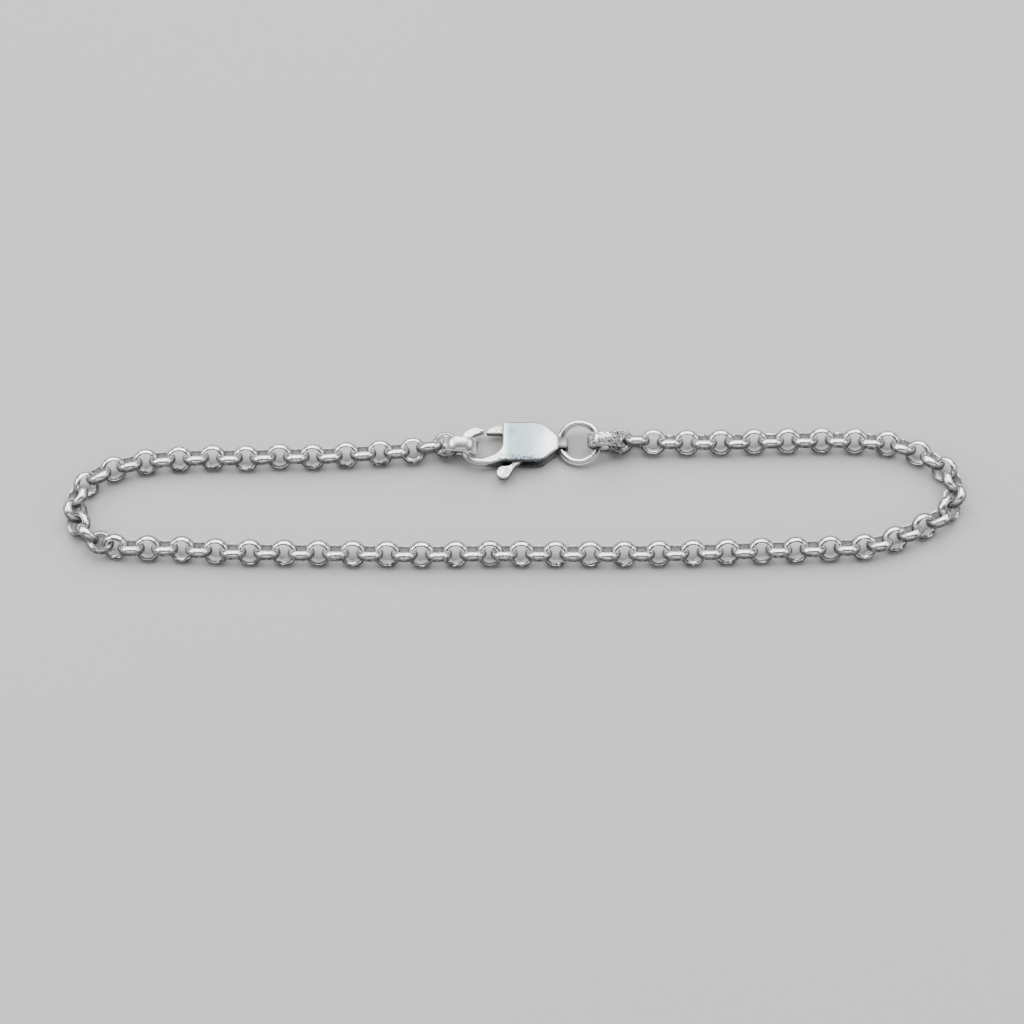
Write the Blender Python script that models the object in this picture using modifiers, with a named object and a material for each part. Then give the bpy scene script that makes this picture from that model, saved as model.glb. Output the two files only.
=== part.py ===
"""A silver link bracelet: a belcher chain of round links, two wide end rings, a jump ring and a lobster clasp.

It lies closed on a surface: +X to the right, +Y to the back, +Z up, metres. The chain runs from the left end
ring round the left end, along the front, round the right end and back to the right end ring.
"""

import math

import bmesh
import bpy
import numpy as np
from mathutils import Matrix, Vector

MM = 0.001
UP = Vector((0, 0, 1))

# Chain links: a wide band bent round, each a quarter turn from the next
LINK_OUTER = 2.87 * MM
LINK_WIRE = 0.64 * MM
LINK_BAND = 1.00 * MM
LINK_BAND_FLAT = 0.60 * MM
LINK_SIDES = 10
LINK_COUNT = 102
LINK_PITCH = 1.80 * MM
BEND_SLACK = 0.15 * MM
BEND_ANGLE = math.radians(14)
LINK_LEAN = math.radians(45)

# The two halves of the chain meet between this link and the next, which lie closer together there
LAST_LEFT_LINK = 50
HALVES_GAP = 0.10 * MM

# The chain turns over once by a quarter turn, between these two links
TWIST_FROM = 24
TWIST_TO = 29
TWIST = math.radians(90)

# Towards each end ring the links roll and rise to meet it, each less than the next
END_ROLL = math.radians(-27)
END_RISE = 0.25 * MM
END_SHARE_KEPT = 0.55

# Route of the chain's middle in mm (x, y), from the first link to near the last, chosen by hand
ROUTE_MM = [
    (-7.34, 5.61), (-9.12, 5.38), (-10.9, 5.05), (-14.1, 4.8), (-17.6, 4.6), (-21.2, 4.35), (-24.8, 4.4),
    (-28.5, 4.2), (-32.1, 4.25), (-35.6, 4.1), (-38.9, 3.8), (-42.3, 3.0), (-44.0, 2.2), (-45.3, 1.1),
    (-46.2, -0.4), (-46.3, -2.0), (-45.8, -3.6), (-44.7, -4.9), (-43.2, -5.75), (-41.6, -6.15), (-38.2, -6.3),
    (-34.6, -6.4), (-31.1, -6.65), (-24.0, -6.8), (-17.0, -6.9), (-9.6, -7.0), (-2.4, -6.9), (4.8, -6.95),
    (11.7, -6.95), (19.1, -6.8), (26.4, -6.55), (33.5, -6.3), (37.1, -6.05), (40.2, -5.1), (42.9, -3.8),
    (45.2, -2.4), (46.35, -0.5), (46.4, 1.2), (45.6, 2.8), (44.3, 3.95), (42.8, 4.85), (40.0, 5.85),
    (36.4, 6.2), (29.2, 6.25), (22.0, 6.05),
]  # fmt: skip

# The rest of it, in mm from the middle of the right end ring
ROUTE_TO_RING_MM = [(5.30, 0.15), (3.40, 0.22), (1.62, 0.15)]

# End rings: wide polished bands that stand on edge, leaning towards the front
END_RING_OUTER = 3.75 * MM
END_RING_WALL = 0.50 * MM
END_RING_BAND = 1.30 * MM
END_RING_EASE = 0.12 * MM
END_RING_SIDES = 16
END_RING_STAND = math.radians(72)
LEFT_RING_X = -5.75 * MM
LEFT_RING_Y = 5.30 * MM
LEFT_RING_YAW = math.radians(-6)
RIGHT_RING_PAST_JUMP = 0.30 * MM
RIGHT_RING_Y = 5.90 * MM
RIGHT_RING_YAW = 0.0

# Jump ring of round wire, lying against the right end ring
JUMP_RING_OUTER = 4.95 * MM
JUMP_RING_WIRE = 0.78 * MM
JUMP_RING_SIDES = 18
JUMP_RING_WIRE_SIDES = 8
JUMP_RING_TILT = math.radians(17)
JUMP_RING_LIFT = math.radians(9.5)
JUMP_RING_HEIGHT = 1.34 * MM
JUMP_RING_PAST_BAIL = 0.08 * MM
JUMP_RING_BACK = 0.13 * MM

# Clasp: its own middle is where the two plates' middle lies
CLASP_X = 1.70 * MM
CLASP_Y = 5.87 * MM
CLASP_AT = Vector((CLASP_X, CLASP_Y, 0))
CLASP_THICKNESS = 2.00 * MM
CLASP_EDGE = 0.16 * MM
BOTTOM_PLATE = 0.62 * MM
TOP_PLATE = 0.42 * MM
BODY_HALF_LENGTH = 3.00 * MM
BODY_HALF_WIDTH = 2.28 * MM
BODY_CORNER = 0.30 * MM
BODY_SHOULDER_BACK = 1.50 * MM
BODY_SHOULDER_FRONT = 1.20 * MM
BODY_NECK = 0.72 * MM
# Where the tapering sides pass, as shares of the body's half width
TAPER_START_BACK = 0.88
TAPER_END_BACK = 0.55
TAPER_FRONT = 0.68
HOOK_ROOT_LENGTH = 0.80 * MM
HOOK_ROOT_WIDTH = 1.00 * MM
HOOK_WIRE = 0.90 * MM
HOOK_HEIGHT = 1.05 * MM
HOOK_RISE = 0.28 * MM
HOOK_REACH = 4.62 * MM
HOOK_MIDDLE_BACK = 1.58 * MM
HOOK_MIDDLE_FRONT = -2.10 * MM

# The hook's middle line from the body round to its tip: how far out, across and up, and how thick,
# as shares of the hook's reach, of its breadth, of its rise and of its wire
HOOK_SPINE = [
    {"out": 0.00, "across": 0.08, "up": 0.00, "thick": 1.20},
    {"out": 0.18, "across": 0.05, "up": 0.10, "thick": 1.05},
    {"out": 0.42, "across": 0.00, "up": 0.35, "thick": 0.92},
    {"out": 0.66, "across": 0.00, "up": 0.70, "thick": 0.95},
    {"out": 0.82, "across": 0.07, "up": 0.90, "thick": 0.97},
    {"out": 0.93, "across": 0.21, "up": 1.00, "thick": 1.00},
    {"out": 0.985, "across": 0.42, "up": 1.00, "thick": 1.00},
    {"out": 0.98, "across": 0.64, "up": 1.00, "thick": 1.00},
    {"out": 0.90, "across": 0.82, "up": 0.90, "thick": 1.03},
    {"out": 0.76, "across": 0.94, "up": 0.65, "thick": 1.00},
    {"out": 0.60, "across": 0.99, "up": 0.35, "thick": 0.88},
    {"out": 0.52, "across": 1.00, "up": 0.25, "thick": 0.70},
]

# Bail: the eye at the clasp's end that the jump ring passes through
BAIL_LENGTH = 1.30 * MM
BAIL_END = 3.98 * MM
BAIL_EYE_WIDE = 1.10 * MM
BAIL_EYE_TALL = 1.50 * MM
BAIL_WALL = 0.25 * MM
BAIL_EDGE = 0.35 * MM
BAIL_EYE_EDGE = 0.10 * MM
BAIL_EDGES = {"bail": BAIL_EDGE, "bail_eye": BAIL_EYE_EDGE}

# Lever: gate, arm and thumb tab in one, turning on a pin between the plates
LEVER_GAP = 0.08 * MM
GATE_GAP = 0.33 * MM
GATE_DEPTH = 0.92 * MM
GATE_NOSE = 0.8
GATE_INSET = 0.22 * MM
LEVER_EDGE = 0.10 * MM
PIVOT_X = -0.70 * MM
PIVOT_Y = -0.22 * MM
PIVOT = Vector((PIVOT_X, PIVOT_Y, 0))
PIN_RADIUS = 0.34 * MM
PIN_GAP = 0.07 * MM
PIN_SIDES = 12
ARM_HALF = 0.80 * MM
NECK_HALF = 0.62 * MM
TAB_X = -2.90 * MM
TAB_Y = -3.42 * MM
TAB_AT = Vector((TAB_X, TAB_Y, 0))
TAB_RADIUS = 0.72 * MM
TAB_SIDES = 12
SLOT_END = 0.45 * MM
SLOT_START = -3.06 * MM

# A closed pocket with less wall than this is filled
POCKET_AREA = 0.1 * MM * MM

SILVER = {
    "chain_silver": ((0.80, 0.80, 0.79), 0.28),
    "ring_silver": ((0.83, 0.83, 0.82), 0.18),
    "clasp_silver": ((0.82, 0.84, 0.86), 0.24),
}


def clear_scene():
    for obj in list(bpy.data.objects):
        bpy.data.objects.remove(obj, do_unlink=True)


def new_collection(name):
    made = bpy.data.collections.new(name)
    bpy.context.scene.collection.children.link(made)
    return made


def silver(name, piece):
    """A metal of the piece's own, in one of the three silver finishes."""
    colour, roughness = SILVER[name]
    made = bpy.data.materials.new(f"{name}_{piece}")
    made.use_nodes = True
    shader = made.node_tree.nodes["Principled BSDF"]
    shader.inputs["Base Color"].default_value = (*colour, 1)
    shader.inputs["Metallic"].default_value = 1.0
    shader.inputs["Roughness"].default_value = roughness
    return made


def new_piece(name, mesh, finish, collection):
    """A named, smooth-shaded object of its own metal."""
    obj = bpy.data.objects.new(name, mesh)
    mesh.materials.clear()
    mesh.materials.append(silver(finish, name))
    mesh.shade_smooth()
    mesh.set_sharp_from_angle(angle=math.radians(35))
    collection.objects.link(obj)
    return obj


def new_cutter(name, mesh, collection):
    """A helper that only joins or cuts: drawn as wire and left out of renders."""
    obj = bpy.data.objects.new(name, mesh)
    obj.hide_render = True
    obj.display_type = "WIRE"
    collection.objects.link(obj)
    return obj


def join_or_cut(obj, operation, other):
    step = obj.modifiers.new(other.name, "BOOLEAN")
    step.operation = operation
    step.solver = "EXACT"
    step.object = other


def mesh_of(name, bm):
    bmesh.ops.recalc_face_normals(bm, faces=bm.faces)
    mesh = bpy.data.meshes.new(name)
    bm.to_mesh(mesh)
    bm.free()
    return mesh


def turned_ring(section, sides):
    """A ring about Z from a closed section of (radius, height) points, as a bmesh."""
    bm = bmesh.new()
    corners = [bm.verts.new((radius, 0, height)) for radius, height in section]
    edges = [bm.edges.new((a, b)) for a, b in zip(corners, corners[1:] + corners[:1])]
    bmesh.ops.spin(
        bm, geom=corners + edges, cent=(0, 0, 0), axis=UP, angle=2 * math.pi, steps=sides, use_merge=True
    )
    bmesh.ops.remove_doubles(bm, verts=bm.verts, dist=1e-7)
    return bm


def link_section():
    """Flat outside, ridged inside: five points round the link's band."""
    outer = LINK_OUTER / 2
    inner = outer - LINK_WIRE
    middle = (outer + inner) / 2
    return [
        (inner, 0),
        (middle, -LINK_BAND / 2),
        (outer, -LINK_BAND_FLAT / 2),
        (outer, LINK_BAND_FLAT / 2),
        (middle, LINK_BAND / 2),
    ]


def eased_section(outer, wall, band, ease):
    """A flat band's section with its four corners cut off."""
    inner = outer - wall
    half = band / 2
    return [
        (inner, half - ease), (inner, ease - half), (inner + ease, -half), (outer - ease, -half),
        (outer, ease - half), (outer, half - ease), (outer - ease, half), (inner + ease, half),
    ]  # fmt: skip


def round_section(outer, wire, sides):
    middle = outer - wire / 2
    turns = [2 * math.pi * (k + 0.5) / sides for k in range(sides)]
    return [(middle + math.cos(a) * wire / 2, math.sin(a) * wire / 2) for a in turns]


def smooth_line(points, step):
    """Points every step or so along a smooth curve through the given ones."""
    points = np.array(points, float)
    along = np.concatenate([[0], np.cumsum(np.linalg.norm(np.diff(points, axis=0), axis=1))])
    slopes = np.gradient(points, along, axis=0)
    dense = np.linspace(0, along[-1], int(along[-1] / step) + 1)
    span = np.clip(np.searchsorted(along, dense, side="right") - 1, 0, len(points) - 2)
    length = (along[span + 1] - along[span])[:, None]
    t = ((dense - along[span])[:, None]) / length
    return (
        points[span] * (2 * t**3 - 3 * t**2 + 1)
        + points[span + 1] * (3 * t**2 - 2 * t**3)
        + slopes[span] * length * (t**3 - 2 * t**2 + t)
        + slopes[span + 1] * length * (t**3 - t**2)
    )


def link_centres():
    """Middles of the links along the route: a pitch apart, closer in the bends and where the halves meet."""
    to_ring = np.array(ROUTE_TO_RING_MM) * MM + (right_ring_x(), RIGHT_RING_Y)
    line = smooth_line(np.vstack([np.array(ROUTE_MM) * MM, to_ring]), LINK_PITCH / 40)
    along = np.concatenate([[0], np.cumsum(np.linalg.norm(np.diff(line, axis=0), axis=1))])
    heading = np.unwrap(np.arctan2(*np.gradient(line, axis=0).T[::-1]))

    def turn(where):
        ends = np.interp([where - LINK_PITCH / 2, where + LINK_PITCH / 2], along, heading)
        return abs(ends[1] - ends[0])

    places = [0.0]
    for k in range(LINK_COUNT - 1):
        step = LINK_PITCH - BEND_SLACK * min(1, turn(places[-1]) / BEND_ANGLE)
        if k == LAST_LEFT_LINK:
            step = LINK_OUTER - 2 * LINK_WIRE - HALVES_GAP
        places.append(places[-1] + step)
    places = np.array(places) * along[-1] / places[-1]
    return np.column_stack([np.interp(places, along, line[:, k]) for k in range(2)])


def rest_height(section, stand):
    """How high the middle of a ring is when it touches the surface, its plane at this angle to it."""
    return max(radius * abs(math.sin(stand)) + height * abs(math.cos(stand)) for radius, height in section)


def smooth_step(value):
    value = min(1, max(0, value))
    return value * value * (3 - 2 * value)


def end_share(number):
    """1 for the links next to the end rings, less for each link further from them."""
    return END_SHARE_KEPT ** min(number, LINK_COUNT - 1 - number)


def link_roll(number):
    """The angle of a link's plane above the outward direction."""
    roll = LINK_LEAN if number % 2 == 0 else LINK_LEAN + math.radians(90)
    roll += TWIST * smooth_step((number - TWIST_FROM) / (TWIST_TO - TWIST_FROM))
    return roll + END_ROLL * end_share(number)


def placing(centre, along, across):
    """The matrix that puts a ring at its centre, with these two directions in its plane."""
    axis = along.cross(across).normalized()
    turn = Matrix((along, axis.cross(along), axis)).transposed()
    return Matrix.Translation(centre) @ turn.to_4x4()


def link_placings():
    centres = link_centres()
    ahead = np.gradient(centres, axis=0)
    made = []
    for number, (centre, course) in enumerate(zip(centres, ahead)):
        along = Vector((*course, 0)).normalized()
        outward = Vector((along.y, -along.x, 0))
        roll = link_roll(number)
        height = max(rest_height(link_section(), stand) for stand in (LINK_LEAN, roll))
        height += END_RISE * end_share(number)
        across = outward * math.cos(roll) + UP * math.sin(roll)
        made.append(placing(Vector((*centre, height)), along, across))
    return made


def links_mesh(name, placings):
    """Copies of one link, none of which touches another, in one mesh."""
    link = mesh_of("link", turned_ring(link_section(), LINK_SIDES))
    bm = bmesh.new()
    for place in placings:
        first = len(bm.verts)
        bm.from_mesh(link)
        bmesh.ops.transform(bm, matrix=place, verts=bm.verts[first:])
        bm.verts.ensure_lookup_table()
    bpy.data.meshes.remove(link)
    return mesh_of(name, bm)


def fill_pockets(mesh):
    """Takes out the walls of any grain-sized pocket that two links enclose where they are joined."""
    bm = bmesh.new()
    bm.from_mesh(mesh)
    waiting = set(bm.faces)
    while waiting:
        shell = [waiting.pop()]
        for face in shell:
            near = {other for edge in face.edges for other in edge.link_faces} & waiting
            waiting -= near
            shell.extend(near)
        if sum(face.calc_area() for face in shell) < POCKET_AREA:
            bmesh.ops.delete(bm, geom=shell, context="FACES")
    bm.to_mesh(mesh)
    bm.free()


def build_chain(name, placings, parts, cutters):
    """Every other link is one body, and the links between are joined to it where they touch."""
    links = bpy.data.objects.new(name, links_mesh(name, placings[::2]))
    between = new_cutter(f"{name}_between", links_mesh(f"{name}_between", placings[1::2]), cutters)
    join_or_cut(links, "UNION", between)
    mesh = evaluated_mesh(links, name)
    bpy.data.objects.remove(between, do_unlink=True)
    fill_pockets(mesh)
    new_piece(name, mesh, "chain_silver", parts)


def build_end_ring(name, at, yaw, parts):
    section = eased_section(END_RING_OUTER / 2, END_RING_WALL, END_RING_BAND, END_RING_EASE)
    ring = new_piece(name, mesh_of(name, turned_ring(section, END_RING_SIDES)), "ring_silver", parts)
    along = Vector((math.cos(yaw), math.sin(yaw), 0))
    back = Vector((-along.y, along.x, 0))
    across = UP * math.sin(END_RING_STAND) - back * math.cos(END_RING_STAND)
    height = rest_height(section, END_RING_STAND)
    ring.matrix_world = placing(Vector((*at, height)), along, across)


def bail_eye_middle():
    """Middle of the bail's eye, in the part's frame."""
    out = BAIL_END - BAIL_WALL - BAIL_EYE_WIDE / 2
    return CLASP_AT + Vector((out, 0, CLASP_THICKNESS / 2))


def jump_ring_along():
    return Vector((math.cos(JUMP_RING_LIFT), 0, math.sin(JUMP_RING_LIFT)))


def jump_ring_centre():
    """The ring hangs in the bail's eye, just past its middle."""
    middle_radius = (JUMP_RING_OUTER - JUMP_RING_WIRE) / 2
    centre = bail_eye_middle() + jump_ring_along() * (middle_radius - JUMP_RING_PAST_BAIL)
    return Vector((centre.x, centre.y + JUMP_RING_BACK, JUMP_RING_HEIGHT))


def right_ring_x():
    """The right end ring hangs on the far side of the jump ring."""
    return jump_ring_centre().x + JUMP_RING_OUTER / 2 * jump_ring_along().x + RIGHT_RING_PAST_JUMP


def build_jump_ring(parts):
    section = round_section(JUMP_RING_OUTER / 2, JUMP_RING_WIRE, JUMP_RING_WIRE_SIDES)
    bm = turned_ring(section, JUMP_RING_SIDES)
    ring = new_piece("jump_ring", mesh_of("jump_ring", bm), "ring_silver", parts)
    along = jump_ring_along()
    across = Vector((0, math.cos(JUMP_RING_TILT), math.sin(JUMP_RING_TILT)))
    across = (across - along * across.dot(along)).normalized()
    ring.matrix_world = placing(jump_ring_centre(), along, across)


def flat_piece(name, outline, bottom, top):
    """A flat outline of (x, y) points given its thickness, as a mesh in the clasp's frame."""
    curve = bpy.data.curves.new(name, "CURVE")
    curve.dimensions = "2D"
    curve.fill_mode = "BOTH"
    curve.extrude = (top - bottom) / 2
    line = curve.splines.new("POLY")
    line.points.add(len(outline) - 1)
    for point, (x, y) in zip(line.points, outline):
        point.co = (x, y, 0, 1)
    line.use_cyclic_u = True
    guide = bpy.data.objects.new(name, curve)
    guide.location.z = (top + bottom) / 2
    return mesh_from(guide, name)


def evaluated_mesh(guide, name):
    """The mesh that an object's curve or modifiers make, placed; the object is removed."""
    bpy.context.scene.collection.objects.link(guide)
    bpy.context.view_layer.update()
    graph = bpy.context.evaluated_depsgraph_get()
    mesh = bpy.data.meshes.new_from_object(guide.evaluated_get(graph))
    mesh.transform(guide.matrix_world)
    bpy.data.objects.remove(guide, do_unlink=True)
    mesh.name = name
    return mesh


def mesh_from(guide, name):
    """The closed mesh of a curve object, with its caps joined on."""
    mesh = evaluated_mesh(guide, name)
    bm = bmesh.new()
    bm.from_mesh(mesh)
    bmesh.ops.remove_doubles(bm, verts=bm.verts, dist=1e-7)
    bmesh.ops.recalc_face_normals(bm, faces=bm.faces)
    bm.to_mesh(mesh)
    bm.free()
    return mesh


def arc(centre, radius, start, end, count):
    angles = [math.radians(start + (end - start) * k / (count - 1)) for k in range(count)]
    return [(centre[0] + radius * math.cos(a), centre[1] + radius * math.sin(a)) for a in angles]


def body_outline():
    """The plates from above: square at the hook, tapering to the bail, with the hook's root at the front."""
    left, right = -BODY_HALF_LENGTH, BODY_HALF_LENGTH
    back, front = BODY_HALF_WIDTH, -BODY_HALF_WIDTH
    root = left - HOOK_ROOT_LENGTH
    shoulder_back = right - BODY_SHOULDER_BACK
    shoulder_front = right - BODY_SHOULDER_FRONT
    return (
        arc((left + BODY_CORNER, back - BODY_CORNER), BODY_CORNER, 180, 90, 4)
        + [(shoulder_back - BODY_SHOULDER_BACK / 3, back), (shoulder_back, back * TAPER_START_BACK)]
        + [(right - BODY_SHOULDER_BACK / 3, back * TAPER_END_BACK), (right, BODY_NECK), (right, -BODY_NECK)]
        + [(shoulder_front, front * TAPER_FRONT), (shoulder_front - BODY_SHOULDER_FRONT / 2, front)]
        + [(root, front), (root, front + HOOK_ROOT_WIDTH)]
        + [(left - HOOK_ROOT_LENGTH / 3, front + HOOK_ROOT_WIDTH * 1.25), (left, front + HOOK_ROOT_WIDTH * 1.75)]
    )


def hook_mesh():
    """Round bar that bends from the body's front corner round to its tip at the back."""
    breadth = HOOK_MIDDLE_BACK - HOOK_MIDDLE_FRONT
    rows = [
        (
            -BODY_HALF_LENGTH - row["out"] * (HOOK_REACH - HOOK_WIRE / 2),
            HOOK_MIDDLE_FRONT + row["across"] * breadth,
            HOOK_HEIGHT + row["up"] * HOOK_RISE,
            row["thick"],
        )
        for row in HOOK_SPINE
    ]
    curve = bpy.data.curves.new("hook", "CURVE")
    curve.dimensions = "3D"
    curve.bevel_depth = HOOK_WIRE / 2
    curve.bevel_resolution = 2
    curve.use_fill_caps = True
    line = curve.splines.new("POLY")
    line.points.add(len(rows) - 1)
    for point, (x, y, z, thick) in zip(line.points, rows):
        point.co = (x, y, z, 1)
        point.radius = thick
    return mesh_from(bpy.data.objects.new("hook", curve), "hook")


def block_mesh(name, low, high):
    bm = bmesh.new()
    bmesh.ops.create_cube(bm, size=1)
    size = Vector(high) - Vector(low)
    middle = (Vector(high) + Vector(low)) / 2
    bmesh.ops.transform(bm, matrix=Matrix.Translation(middle) @ Matrix.Diagonal((*size, 1)), verts=bm.verts)
    return mesh_of(name, bm)


def pin_mesh(name, radius, bottom, top):
    bm = bmesh.new()
    bmesh.ops.create_cone(
        bm, segments=PIN_SIDES, radius1=radius, radius2=radius, depth=top - bottom, cap_ends=True
    )
    middle = Vector((PIVOT.x, PIVOT.y, (top + bottom) / 2))
    bmesh.ops.translate(bm, vec=middle, verts=bm.verts)
    return mesh_of(name, bm)


def soften(obj, width, angle):
    """Rounds off the edges that are sharper than this angle."""
    step = obj.modifiers.new("soft edges", "BEVEL")
    step.width = width
    step.segments = 1
    step.limit_method = "ANGLE"
    step.angle_limit = math.radians(angle)


def build_clasp_body(parts, cutters):
    thickness = CLASP_THICKNESS
    plates = flat_piece("clasp_body", body_outline(), 0, thickness)
    body = new_piece("clasp_body", plates, "clasp_silver", parts)
    body.location = CLASP_AT
    soften(body, CLASP_EDGE, 60)

    half_bail = BAIL_LENGTH / 2
    bail = block_mesh(
        "bail", (BODY_HALF_LENGTH - BAIL_EYE_WIDE, -half_bail, 0), (BAIL_END, half_bail, thickness)
    )
    eye_end = BAIL_END - BAIL_WALL
    eye_low = (thickness - BAIL_EYE_TALL) / 2
    eye = block_mesh(
        "bail_eye",
        (eye_end - BAIL_EYE_WIDE, -BODY_HALF_WIDTH, eye_low),
        (eye_end, BODY_HALF_WIDTH, thickness - eye_low),
    )
    slot_side = BODY_HALF_WIDTH + HOOK_WIRE
    slot = block_mesh(
        "lever_slot",
        (SLOT_START, -slot_side, BOTTOM_PLATE),
        (SLOT_END, slot_side, thickness - TOP_PLATE),
    )
    pin = pin_mesh("pin", PIN_RADIUS, BOTTOM_PLATE / 2, thickness - TOP_PLATE / 2)
    steps = [
        (bail, "UNION"), (hook_mesh(), "UNION"), (eye, "DIFFERENCE"), (slot, "DIFFERENCE"), (pin, "UNION"),
    ]  # fmt: skip
    for mesh, operation in steps:
        helper = new_cutter(f"clasp_{mesh.name}", mesh, cutters)
        helper.location = CLASP_AT
        if mesh.name in BAIL_EDGES:
            soften(helper, BAIL_EDGES[mesh.name], 60)
        join_or_cut(body, operation, helper)


def lever_outline():
    """Gate along the back, arm down past the pin, and round thumb tab in front, anticlockwise from above."""
    tip = -BODY_HALF_LENGTH - HOOK_SPINE[-1]["out"] * (HOOK_REACH - HOOK_WIRE / 2) + GATE_GAP
    back = BODY_HALF_WIDTH - GATE_INSET
    inner = back - GATE_DEPTH
    front = -BODY_HALF_WIDTH
    arm_left, arm_right = PIVOT.x - ARM_HALF, PIVOT.x + ARM_HALF
    neck = (PIVOT.x + TAB_AT.x) / 2
    nose = GATE_DEPTH * GATE_NOSE
    return (
        [(arm_right, PIVOT.y - ARM_HALF / 2), (arm_right, PIVOT.y + ARM_HALF / 2)]
        + [(PIVOT.x + ARM_HALF / 3, inner + GATE_DEPTH / 3), (PIVOT.x - ARM_HALF, back)]
        + arc((tip + nose, back - nose), nose, 90, 180, 4)
        + [(tip, inner), (-BODY_HALF_LENGTH, inner), (arm_left, PIVOT.y + ARM_HALF)]
        + [(arm_left, PIVOT.y - ARM_HALF / 2), (neck - NECK_HALF, front - LEVER_GAP)]
        + arc(TAB_AT, TAB_RADIUS, 80, 330, TAB_SIDES)
        + [(neck + NECK_HALF, front - LEVER_GAP)]
    )


def build_clasp_lever(parts, cutters):
    """The lever's object has its origin on its pin's axis, so it turns about it."""
    bottom = BOTTOM_PLATE + LEVER_GAP
    top = CLASP_THICKNESS - TOP_PLATE - LEVER_GAP
    mesh = flat_piece("clasp_lever", lever_outline(), bottom, top)
    mesh.transform(Matrix.Translation(-PIVOT))
    lever = new_piece("clasp_lever", mesh, "clasp_silver", parts)
    lever.location = CLASP_AT + PIVOT
    soften(lever, LEVER_EDGE, 60)
    bore = new_cutter("lever_bore", pin_mesh("bore", PIN_RADIUS + PIN_GAP, 0, CLASP_THICKNESS), cutters)
    bore.location = CLASP_AT
    join_or_cut(lever, "DIFFERENCE", bore)


def main():
    clear_scene()
    parts = new_collection("link_bracelet")
    cutters = new_collection("cutters")
    places = link_placings()
    build_chain("chain_left", places[: LAST_LEFT_LINK + 1], parts, cutters)
    build_chain("chain_right", places[LAST_LEFT_LINK + 1 :], parts, cutters)
    build_end_ring("end_ring_left", (LEFT_RING_X, LEFT_RING_Y), LEFT_RING_YAW, parts)
    build_end_ring("end_ring_right", (right_ring_x(), RIGHT_RING_Y), RIGHT_RING_YAW, parts)
    build_jump_ring(parts)
    build_clasp_body(parts, cutters)
    build_clasp_lever(parts, cutters)


main()
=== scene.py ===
"""The looks of a silver link bracelet: its links, end rings, jump ring and clasp, on a plain pale floor."""

import math

import bpy
import numpy as np
from bpy.props import FloatProperty, FloatVectorProperty, PointerProperty
from mathutils import Matrix, Vector


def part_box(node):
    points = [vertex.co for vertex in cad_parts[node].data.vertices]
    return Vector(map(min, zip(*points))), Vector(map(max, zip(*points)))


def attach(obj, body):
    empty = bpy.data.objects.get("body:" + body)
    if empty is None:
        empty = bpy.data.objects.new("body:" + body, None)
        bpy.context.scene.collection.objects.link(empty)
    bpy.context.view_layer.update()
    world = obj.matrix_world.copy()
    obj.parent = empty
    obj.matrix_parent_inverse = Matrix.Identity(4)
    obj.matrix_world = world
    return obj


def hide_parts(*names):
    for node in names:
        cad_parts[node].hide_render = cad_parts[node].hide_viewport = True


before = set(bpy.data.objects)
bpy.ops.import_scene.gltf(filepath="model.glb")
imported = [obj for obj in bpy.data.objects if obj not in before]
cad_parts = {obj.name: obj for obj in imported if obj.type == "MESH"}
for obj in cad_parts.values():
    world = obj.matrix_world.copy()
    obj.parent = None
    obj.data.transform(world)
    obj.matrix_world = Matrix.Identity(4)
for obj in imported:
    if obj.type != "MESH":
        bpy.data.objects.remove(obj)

bl_info = {
    "name": "Link bracelet",
    "version": (1, 0, 0),
    "blender": (4, 5, 0),
    "location": "3D View > Sidebar > Bracelet",
    "description": "Models a silver belcher chain bracelet with its rings and lobster clasp",
    "category": "Object",
}

MM = 0.001
UP = Vector((0, 0, 1))
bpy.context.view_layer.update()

# Points closer than this are one
WELD = 1e-7

# The solid links' sizes, which settle where each link lies
SOLID_WIRE = 0.64 * MM
SOLID_BAND_FLAT = 0.60 * MM

# How the links follow one another
LINK_COUNT = 102
BEND_SLACK = 0.15 * MM
BEND_ANGLE = math.radians(14)
LINK_LEAN = math.radians(45)
LAST_LEFT_LINK = 50
HALVES_GAP = 0.10 * MM
TWIST_FROM = 24
TWIST_TO = 29
TWIST = math.radians(90)
END_ROLL = math.radians(-27)
END_RISE = 0.25 * MM
END_SHARE_KEPT = 0.55

# Route of the chain's middle in mm (x, y), from the first link to the last
ROUTE_MM = [
    (-7.34, 5.61), (-9.12, 5.38), (-10.9, 5.05), (-14.1, 4.8), (-17.6, 4.6), (-21.2, 4.35), (-24.8, 4.4),
    (-28.5, 4.2), (-32.1, 4.25), (-35.6, 4.1), (-38.9, 3.8), (-42.3, 3.0), (-44.0, 2.2), (-45.3, 1.1),
    (-46.2, -0.4), (-46.3, -2.0), (-45.8, -3.6), (-44.7, -4.9), (-43.2, -5.75), (-41.6, -6.15), (-38.2, -6.3),
    (-34.6, -6.4), (-31.1, -6.65), (-24.0, -6.8), (-17.0, -6.9), (-9.6, -7.0), (-2.4, -6.9), (4.8, -6.95),
    (11.7, -6.95), (19.1, -6.8), (26.4, -6.55), (33.5, -6.3), (37.1, -6.05), (40.2, -5.1), (42.9, -3.8),
    (45.2, -2.4), (46.35, -0.5), (46.4, 1.2), (45.6, 2.8), (44.3, 3.95), (42.8, 4.85), (40.0, 5.85),
    (36.4, 6.2), (29.2, 6.25), (22.0, 6.05), (14.9, 6.05), (13.00, 6.12), (11.22, 6.05),
]  # fmt: skip

# How finely the rings are spun
LINK_STEPS = 36
END_RING_STEPS = 72
JUMP_RING_STEPS = 110
JUMP_RING_SIDES = 24

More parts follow.
